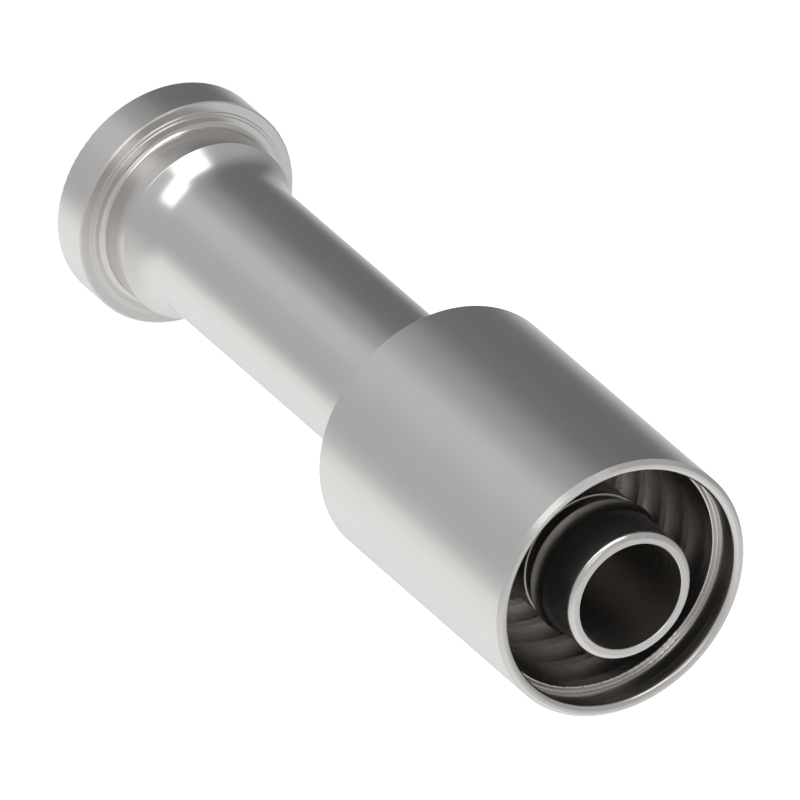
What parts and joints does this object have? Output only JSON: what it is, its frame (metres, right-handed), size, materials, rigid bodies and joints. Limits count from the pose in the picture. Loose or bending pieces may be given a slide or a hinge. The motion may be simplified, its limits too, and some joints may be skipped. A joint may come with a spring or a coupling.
{
  "type": "straight hose fitting",
  "caption": "Straight steel crimp hose fitting: round flange head with a stepped back, short neck, plain tube, and a barbed insert inside a cylindrical crimp shell.",
  "frame": {"origin": "centre of the flange head's seal face, which the fitting stands on", "axes": "+Z along the common axis, from the seal face to the hose end; +X and +Y are any two directions across it"},
  "size_m": [0.0619, 0.0618, 0.2038],
  "materials": {
    "stem_steel": "satin turned and plated steel",
    "shell_steel": "satin turned and plated steel"
  },
  "bodies": {
    "root": {"flange_stem": "stem_steel", "crimp_shell": "shell_steel"}
  },
  "joints": []
}
